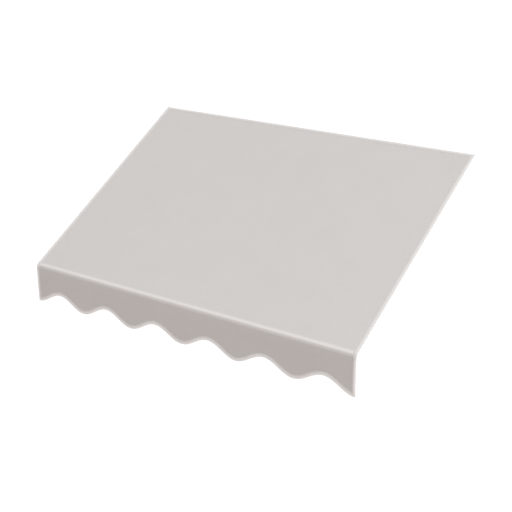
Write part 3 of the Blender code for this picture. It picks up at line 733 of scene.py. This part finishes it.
def front_pocket_cloth():
    """The strip that closes the canopy round the front bar, notched for the four saddles."""
    path = pocket_path()
    run = lengths_along(path)
    xs = pocket_xs()
    made = carried_grid(
        len(xs) - 1,
        len(path) - 1,
        lambda u, v: picked(path, v) + ALONG_WALL * picked(xs, u),
        lambda u, v: (picked(xs, u), picked(run, v)),
    )
    origin = on_slope(0, 0, 0)
    cut = []
    for face in made.faces:
        middle = face.calc_center_median()
        behind = (middle - origin).dot(DOWN_SLOPE) < BAR_S + GAP
        if behind and any(abs(middle.x - x) < NOTCH_HALF for x in RAFTER_XS):
            cut.append(face)
    gone = sum(face.calc_area() for face in cut)
    bmesh.ops.delete(made, geom=cut, context="FACES")
    piece = as_piece("front_pocket_cloth", made, CANVAS, "canvas", ["front_pocket"])
    thicken(piece, CLOTH, 0)


def rounded(points, radius, steps):
    """A flat path with its inner corners rounded."""
    made = [points[0]]
    for before, corner, after in zip(points, points[1:], points[2:]):
        ins = (before - corner).normalized()
        outs = (after - corner).normalized()
        start = corner + ins * radius
        end = corner + outs * radius
        for step in range(steps + 1):
            share = step / steps
            pull = corner * 2 * share * (1 - share)
            made.append(start * (1 - share) ** 2 + pull + end * share**2)
    return [*made, points[-1]]


SLEEVE_END = BAR_S - 4 * BAR_RADIUS


def side_sleeve_cloths():
    """Cloth round three sides of each side rafter, with flaps sewn to the canopy."""
    middle = RAFTER / 2 + GAP + CLOTH / 2
    top = RAFTER_TOP - CLOTH / 2
    low = RAFTER_BOTTOM - GAP - CLOTH / 2
    corners = [
        (-middle - FLAP_WIDTH, top),
        (-middle, top),
        (-middle, low),
        (middle, low),
        (middle, top),
        (middle + FLAP_WIDTH, top),
    ]
    path = rounded([Vector(corner) for corner in corners], 0.002, 4)
    run = lengths_along(path)
    start = s_at(-RAIL_DEPTH - PLATE, low) + PLUG_LENGTH

    def flat(u, v):
        return picked(run, u), SLEEVE_END + (start - SLEEVE_END) * v

    for x, word in ((-SIDE_X, "left"), (SIDE_X, "right")):

        def place(u, v, x=x):
            point = picked(path, u)
            return on_slope(x + point.x, flat(u, v)[1], point.y)

        made = carried_grid(len(path) - 1, 48, place, flat)
        node = f"side_sleeve_{word}"
        piece = as_piece(f"rafter_sleeve_{word}", made, CANVAS, "canvas", [node])
        thicken(piece, CLOTH, 0)


GROOVE_RADIUS = WELT_RADIUS + GAP
GROOVE_H = -UNDER_TAPE - GROOVE_LIP - GROOVE_RADIUS
GROOVE_S = s_at(-(RAIL_DEPTH - RAIL_WALL - GROOVE_RADIUS), GROOVE_H)


def welt():
    """Welt cord with the tail that is sewn under the canopy."""
    half = WELT_NECK / 2
    top = -UNDER_CLOTH
    section = [
        (GROOVE_S + half, top),
        (GROOVE_S - WELT_TAIL, top),
        (GROOVE_S - WELT_TAIL, top - TAPE),
        (GROOVE_S - half, top - TAPE),
    ]
    gap_angle = asin(half / WELT_RADIUS)
    for step in range(21):
        angle = pi / 2 + gap_angle + (2 * pi - 2 * gap_angle) * step / 20
        section.append((GROOVE_S + cos(angle) * WELT_RADIUS, GROOVE_H + sin(angle) * WELT_RADIUS))
    xs = [RAIL_END * (step / 20 - 1) for step in range(41)]
    made = swept(section, xs, lambda point, x: on_slope(x, *point))
    mark_sharp(made, radians(40))
    as_piece("head_welt", made, WELT, "welt_cord", ["head_keder"])


# Stitching

STITCH = 0.0034
STITCH_STEP = 0.0046
THREAD_RADIUS = 0.00028
THREAD_LIFT = 0.00004
SEAM_ROW = 0.0035
FLAP_ROW = 0.003
TAPE_ROW = 0.0022
TAPE_LIP = 0.00098


def stitch_row(made, spots):
    """Stitches end to end along spots, each a point with its outward normal."""
    run = lengths_along([point for point, _ in spots])
    count = int(run[-1] / STITCH_STEP)
    index = 0
    for number in range(count):
        middle = (number + 0.5) * run[-1] / count
        while run[index + 1] < middle:
            index += 1
        share = (middle - run[index]) / (run[index + 1] - run[index])
        (start, normal), (end, next_normal) = spots[index], spots[index + 1]
        along = (end - start).normalized()
        outward = normal.lerp(next_normal, share)
        outward = (outward - along * outward.dot(along)).normalized()
        across = outward.cross(along)
        axes = (along * STITCH / 2, across * THREAD_RADIUS, outward * THREAD_RADIUS)
        spot = start.lerp(end, share) + outward * THREAD_LIFT
        place = Matrix.Translation(spot) @ Matrix(axes).transposed().to_4x4()
        bmesh.ops.create_icosphere(made, subdivisions=1, radius=1, matrix=place)


def stitching(name, rows, slot):
    """One piece of thread for several rows, each made by itself as that is much quicker."""
    made = bmesh.new()
    for spots in rows:
        row = bmesh.new()
        stitch_row(row, spots)
        mesh = bpy.data.meshes.new("stitch_row")
        row.to_mesh(mesh)
        row.free()
        made.from_mesh(mesh)
        bpy.data.meshes.remove(mesh)
    for face in made.faces:
        face.smooth = True
    as_piece(name, made, SEWING_THREAD, slot, [])


def cover_row(low, high, count, x=None, run=None):
    """Spots over the canopy, across it at one run or down it at one x."""
    spots = []
    for step in range(count + 1):
        share = low + (high - low) * step / count
        spots.append(cover(share, run) if x is None else cover(x, share))
    return spots


def both_faces(rows, thickness):
    """The same rows on the cloth's far face as well."""
    far = [[(point - normal * thickness, -normal) for point, normal in spots] for spots in rows]
    return rows + far


def all_stitching():
    """Thread through the tapes, the seam, the pocket's and sleeves' flaps and the welt's tail."""
    inset = BINDING_WIDTH - TAPE_ROW
    tape_rows = []
    for side in (-1, 1):
        x = side * (WIDTH / 2 - inset)
        tape_rows.append(cover_row(inset, COVER_RUN, 160, x=x))
    reach = WIDTH / 2 - inset
    tape_rows.append(cover_row(-reach, reach, 80, run=inset - RAW_EDGE))
    rows = [[(point + normal * TAPE_LIP, normal) for point, normal in row] for row in tape_rows]
    edge_row = []
    for edge, step in valance_edge():
        spot = edge + step * inset
        edge_row.append((valance_face(spot.x, spot.y) + OUT * TAPE_LIP, OUT))
    rows = both_faces([*rows, edge_row], CLOTH + 2 * TAPE_LIP)
    stitching("binding_stitches", rows, "binding_tape")

    seam = []
    for z in (SEAM_Z + SEAM_ROW, SEAM_Z - SEAM_ROW, SEAM_Z - FLAP_WIDTH + FLAP_ROW):
        seam.append([(valance_face(RAIL_END * (step / 40 - 1), z), OUT) for step in range(81)])
    pocket_line = BAR_S - POCKET_LEAVE - BACK_S
    across = RAIL_END - SLEEVE_CLEAR
    for run in (pocket_line - FLAP_WIDTH * 0.5, pocket_line - FLAP_WIDTH * 1.6):
        seam.append(cover_row(-across, across, 80, run=run))
    stitching("pocket_stitches", seam, "canvas")

    start = s_at(-RAIL_DEPTH - PLATE, RAFTER_BOTTOM) + PLUG_LENGTH
    sleeve = []
    for x in (-SIDE_X, SIDE_X):
        for side in (-1, 1):
            line = x + side * (RAFTER / 2 + FLAP_WIDTH * 0.6)
            sleeve.append(cover_row(start - BACK_S, SLEEVE_END - BACK_S, 60, x=line))
    stitching("sleeve_stitches", both_faces(sleeve, 2 * CLOTH + GAP), "canvas")
    tail = GROOVE_S - WELT_TAIL * 0.6 - BACK_S
    stitching("welt_stitches", [cover_row(-RAIL_END, RAIL_END, 60, run=tail)], "canvas")


# Frame

EASED_ANGLE = radians(38)


def eased_copy(node, name, radius, segments, material, slot):
    """A node's merged copy with its sharp edges eased and marked as worn."""
    made = bmesh.new()
    made.from_mesh(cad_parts[node].data)
    bmesh.ops.remove_doubles(made, verts=made.verts, dist=2e-6)
    bmesh.ops.dissolve_limit(made, angle_limit=radians(0.5), verts=made.verts, edges=made.edges)
    worn = made.faces.layers.float.new("worn")
    closed = [edge for edge in made.edges if edge.is_manifold]
    sharp = [edge for edge in closed if edge.calc_face_angle(0) > EASED_ANGLE]
    done = bmesh.ops.bevel(
        made,
        geom=sharp,
        offset=radius,
        segments=segments,
        profile=0.5,
        affect="EDGES",
        material=-1,
        clamp_overlap=True,
    )
    for face in done["faces"]:
        face[worn] = 1.0
    mark_sharp(made, EASED_ANGLE)
    return as_piece(name, made, material, slot, [node])


TURNED_SIDES = 36


def turned(name, node, profile, seat, axis):
    """A fastener about an axis, from (radius, height, hexagonal) points; the radius of a hexagon
    is half its width across the flats."""
    first = axis.orthogonal().normalized()
    second = axis.cross(first).normalized()

    def place(u, v):
        radius, height, hexagonal = picked(profile, v)
        angle = 2 * pi * round(u * TURNED_SIDES) / TURNED_SIDES
        if hexagonal:
            radius /= cos((angle + pi / 6) % (pi / 3) - pi / 6)
        return seat + axis * height + (first * cos(angle) + second * sin(angle)) * radius

    made = carried_grid(TURNED_SIDES, len(profile) - 1, place, lambda u, v: (u, v))
    bmesh.ops.remove_doubles(made, verts=made.verts, dist=1e-6)
    bmesh.ops.recalc_face_normals(made, faces=made.faces)
    mark_sharp(made, radians(28))
    as_piece(name, made, STEEL, "stainless_steel", [node])


def thread(radius, start, end, pitch, depth):
    """A shank's threaded end, down to its chamfered tip."""
    count = round((end - start) / pitch)
    points = []
    for step in range(count):
        height = start + (end - start) * step / count
        root = height + (end - start) / count / 2
        points += [(radius, height, False), (radius - depth, root, False)]
    return [*points, (radius - 1.5 * depth, end, False), (0, end, False)]


def bolt(side, end, seat, axis):
    """A hexagon bolt through one end of a strut."""
    length = 2 * (EAR_OUTER + GAP) + NUT_HEIGHT + THREAD_END
    profile = [
        (0, -BOLT_HEAD, False),
        (0.90 * BOLT_FLAT, -BOLT_HEAD, False),
        (BOLT_FLAT, 0.0009 - BOLT_HEAD, True),
        (BOLT_FLAT, -0.0004, True),
        (0.94 * BOLT_FLAT, -0.0003, False),
        (0.94 * BOLT_FLAT, 0, False),
        (BOLT_RADIUS, 0, False),
        *thread(BOLT_RADIUS, length - 2 * NUT_HEIGHT, length, 0.00125, 0.0005),
    ]
    turned(f"brace_{end}_bolt_{side}", f"strut_{end}_bolt_{side}", profile, seat, axis)


def nut(side, end, seat, axis):
    """The bolt's nut, chamfered on both faces."""
    bore = BOLT_RADIUS + GAP
    profile = [
        (bore + 0.0007, 0, False),
        (0.94 * BOLT_FLAT, 0, False),
        (BOLT_FLAT, 0.0005, True),
        (BOLT_FLAT, NUT_HEIGHT - 0.0009, True),
        (0.90 * BOLT_FLAT, NUT_HEIGHT, False),
        (bore + 0.0007, NUT_HEIGHT, False),
        (bore, NUT_HEIGHT - 0.0007, False),
        (bore, 0.0007, False),
        (bore + 0.0007, 0, False),
    ]
    turned(f"brace_{end}_nut_{side}", f"strut_{end}_nut_{side}", profile, seat, axis)


def screw(node, seat, axis):
    """A pan head screw with a hexagon socket."""
    floor = 0.0017 - SCREW_HEAD
    crown = SCREW_CROWN_RADIUS - 0.0004
    profile = [
        (0, floor, False),
        (SOCKET_FLAT, floor, True),
        (SOCKET_FLAT, 0.0003 - SCREW_HEAD, True),
        (SOCKET_FLAT + 0.0005, -SCREW_HEAD, False),
    ]
    for step in range(9):
        angle = pi / 2 * step / 8
        reach = crown + (SCREW_HEAD_RADIUS - crown) * sin(angle)
        profile.append((reach, -0.0009 - (SCREW_HEAD - 0.0009) * cos(angle), False))
    profile += [(SCREW_HEAD_RADIUS, -0.0003, False), (SCREW_HEAD_RADIUS - 0.0003, 0, False)]
    profile += thread(SCREW_RADIUS, 0.0, SCREW_LENGTH, 0.0010, 0.0004)
    turned(f"pan_{node}", node, profile, seat, axis)


def strut_ends(x):
    """The pivots of a strut: on its wall foot and under its rafter."""
    head = on_slope(x, STRUT_HEAD_S, RAFTER_BOTTOM - GAP - PIVOT_REACH)
    return Vector((x, -FOOT_PIVOT_REACH, -FOOT_DROP)), head


def fasteners():
    """Bolts and nuts of the struts, and screws of the forks, the rafter shoes and the saddles."""
    reach = FORK_PLATE_LENGTH / 2 - 2 * SCREW_HEAD_RADIUS + GAP
    for x, side in ((-BRACKET_X, "left"), (BRACKET_X, "right")):
        outward = ALONG_WALL if x > 0 else -ALONG_WALL
        step = outward * (EAR_OUTER + GAP)
        for end, pivot in zip(("foot", "head"), strut_ends(x), strict=True):
            bolt(side, end, pivot + step, -outward)
            nut(side, end, pivot - step, -outward)
        for word, along in (("upper", -reach), ("lower", reach)):
            seat = on_slope(x, STRUT_HEAD_S + along, RAFTER_BOTTOM - 2 * GAP - EAR)
            screw(f"{word}_fork_screw_{side}", seat, SLOPE_NORMAL)
    wing = RAFTER / 2 + WING / 2
    xs = [wing - SIDE_X, SIDE_X - wing]
    xs += [x + side * wing for x in (-BRACKET_X, BRACKET_X) for side in (-1, 1)]
    for number, x in enumerate(sorted(xs)):
        seat = Vector((x, -RAIL_DEPTH - PLATE - 2 * GAP, SOCKET_Z))
        screw(f"socket_screw_{number + 1}", seat, -OUT)
    towards = DOWN_SLOPE * -cos(SEAT_ANGLE) + SLOPE_NORMAL * sin(SEAT_ANGLE)
    words = ("side_left", "bracket_left", "bracket_right", "side_right")
    for x, word in zip(RAFTER_XS, words, strict=True):
        seat = BAR_CENTRE + ALONG_WALL * x + towards * (SADDLE_RADIUS + SADDLE_BODY)
        screw(f"saddle_screw_{word}", seat, -towards)


# What each kind of frame piece is made of, and a library material name
DRAWN = (RAIL_METAL, "frame_aluminium")
TUBE = (RAFTER_METAL, "frame_aluminium")
CAST = (CAST_METAL, "cast_aluminium")
CAP = (CAP_PLASTIC, "cap_plastic")


def frame_pieces():
    eased_copy("head_rail", "wall_rail", 0.0004, 2, *DRAWN)
    eased_copy("front_bar", "round_front_bar", 0.0004, 2, *DRAWN)
    for side in ("left", "right"):
        eased_copy(f"head_rail_cap_{side}", f"wall_rail_cap_{side}", 0.0006, 2, *CAP)
        eased_copy(f"front_bar_cap_{side}", f"round_bar_cap_{side}", 0.0009, 3, *CAP)
        eased_copy(f"strut_{side}", f"brace_{side}", 0.0012, 3, *TUBE)
        eased_copy(f"strut_bracket_{side}", f"brace_fork_{side}", 0.0008, 2, *CAST)
        eased_copy(f"wall_foot_{side}", f"brace_foot_{side}", 0.0008, 2, *CAST)
        for kind in ("side", "bracket"):
            word = f"{kind}_{side}"
            eased_copy(f"{kind}_rafter_{side}", f"rafter_tube_{word}", 0.0014, 3, *TUBE)
            eased_copy(f"rafter_socket_{word}", f"rafter_shoe_{word}", 0.0008, 2, *CAST)
            eased_copy(f"front_saddle_{word}", f"bar_saddle_{word}", 0.0007, 2, *CAST)
    fasteners()


# Stage, light and camera

WHITE = (1.0, 1.0, 1.0, 1.0)
FLOOR_Z = -3.6
FLOOR_RADIUS = 60.0
FLOOR_COLOUR = (0.768, 0.684, 0.654, 1.0)
PLAIN_GREY = (0.660, 0.660, 0.660, 1.0)
GLOW_REACH = (2.5, 12.0)
GLOW = (0.47, 0.70)
LIT_POINT = Vector((0, -0.45, -0.25))
AMBIENT = 0.52
LAMPS = (
    ("high_key", (3.8, -5.5, 17.2), 8.0, 1680.0),
    ("right_fill", (8.6, -3.8, 3.0), 4.0, 90.0),
)
CAMERA_SPOT = Vector((2.311, -3.670, 1.050))
AZIMUTH, ELEVATION, ROLL = radians(35.06), radians(20.11), radians(-0.08)
FOCAL_LENGTH = 74.6


def stage_floor():
    """A floor that lights the cloth warmly, and that a camera sees as plain and nearly white."""
    made = bmesh.new()
    bmesh.ops.create_circle(made, cap_ends=True, segments=64, radius=FLOOR_RADIUS)
    bmesh.ops.translate(made, vec=(0, 0, FLOOR_Z), verts=made.verts)
    mesh = bpy.data.meshes.new("studio_floor")
    made.to_mesh(mesh)
    made.free()
    floor = bpy.data.objects.new("studio_floor", mesh)
    bpy.context.scene.collection.objects.link(floor)
    material, tree, shader = new_material("pale_studio_floor", (0.8, 0.8, 0.8))
    place = add_node(tree, "ShaderNodeTexCoord").outputs["Object"]
    grey = coloured(tree, [ranged(tree, noise(tree, place, 40.0, 2.0), 0.3, 0.7, 0.98, 1.0)] * 3)
    link(tree, blended(tree, "MULTIPLY", FLOOR_COLOUR, grey), shader.inputs["Base Color"])
    shader.inputs["Roughness"].default_value = 0.9
    shader.inputs["Specular IOR Level"].default_value = 0.0
    inputs = {0: place, 1: (0, 0, FLOOR_Z)}
    away = add_node(tree, "ShaderNodeVectorMath", {"operation": "DISTANCE"}, inputs)
    lift = ranged(tree, away.outputs["Value"], *GLOW_REACH, *GLOW)
    glow = add_node(tree, "ShaderNodeEmission", inputs={"Color": WHITE, "Strength": lift})
    plain = add_node(tree, "ShaderNodeBsdfDiffuse", inputs={"Color": PLAIN_GREY})
    both = add_node(tree, "ShaderNodeAddShader", inputs={0: plain.outputs[0], 1: glow.outputs[0]})
    inputs = {0: seen_directly(tree), 1: shader.outputs[0], 2: both.outputs[0]}
    choice = add_node(tree, "ShaderNodeMixShader", inputs=inputs)
    under = tree.nodes.new("ShaderNodeNewGeometry").outputs["Backfacing"]
    clear = tree.nodes.new("ShaderNodeBsdfTransparent")
    inputs = {0: under, 1: choice.outputs[0], 2: clear.outputs[0]}
    seen = add_node(tree, "ShaderNodeMixShader", inputs=inputs)
    link(tree, seen.outputs[0], tree.nodes["Material Output"].inputs[0])
    mesh.materials.append(material)


def seen_directly(tree):
    """1 for rays from a camera or a mirroring surface, 0 for those that only gather light."""
    rays = tree.nodes.new("ShaderNodeLightPath").outputs
    mirrored = combined(tree, "MAXIMUM", rays["Is Camera Ray"], rays["Is Glossy Ray"])
    return combined(tree, "MAXIMUM", mirrored, rays["Is Transmission Ray"])


def studio_light():
    """A white room, dimmer for the light that it gives than for how it looks, and two lamps."""
    world = bpy.data.worlds.new("white_studio")
    bpy.context.scene.world = world
    world.use_nodes = True
    tree = world.node_tree
    tree.nodes.clear()
    fill = add_node(tree, "ShaderNodeBackground", inputs={"Color": WHITE, "Strength": AMBIENT})
    white = add_node(tree, "ShaderNodeBackground", inputs={"Color": WHITE, "Strength": 1.0})
    inputs = {0: seen_directly(tree), 1: fill.outputs[0], 2: white.outputs[0]}
    choice = add_node(tree, "ShaderNodeMixShader", inputs=inputs)
    leave = tree.nodes.new("ShaderNodeOutputWorld")
    link(tree, choice.outputs[0], leave.inputs[0])
    for name, spot, size, energy in LAMPS:
        lamp = bpy.data.lights.new(name, "AREA")
        lamp.shape = "DISK"
        lamp.size = size
        lamp.energy = energy
        holder = bpy.data.objects.new(name, lamp)
        bpy.context.scene.collection.objects.link(holder)
        holder.location = spot
        aim = LIT_POINT - Vector(spot)
        holder.rotation_euler = aim.to_track_quat("-Z", "Y").to_euler()


def photo_camera():
    level = Vector((sin(AZIMUTH), -cos(AZIMUTH), 0))
    back = level * cos(ELEVATION) + Vector((0, 0, sin(ELEVATION)))
    lens = bpy.data.cameras.new("photo_view")
    lens.lens = FOCAL_LENGTH
    lens.sensor_width = 36.0
    lens.clip_end = 200.0
    camera = bpy.data.objects.new("photo_view", lens)
    bpy.context.scene.collection.objects.link(camera)
    turn = back.to_track_quat("Z", "Y").to_matrix() @ Matrix.Rotation(ROLL, 3, "Z")
    camera.matrix_world = Matrix.Translation(CAMERA_SPOT) @ turn.to_4x4()
    bpy.context.scene.camera = camera


photo_camera()
canopy_cloth()
valance_cloth()
cover_tapes()
valance_tape()
front_pocket_cloth()
side_sleeve_cloths()
welt()
all_stitching()
frame_pieces()
stage_floor()
studio_light()
bpy.context.scene.view_settings.view_transform = "Standard"
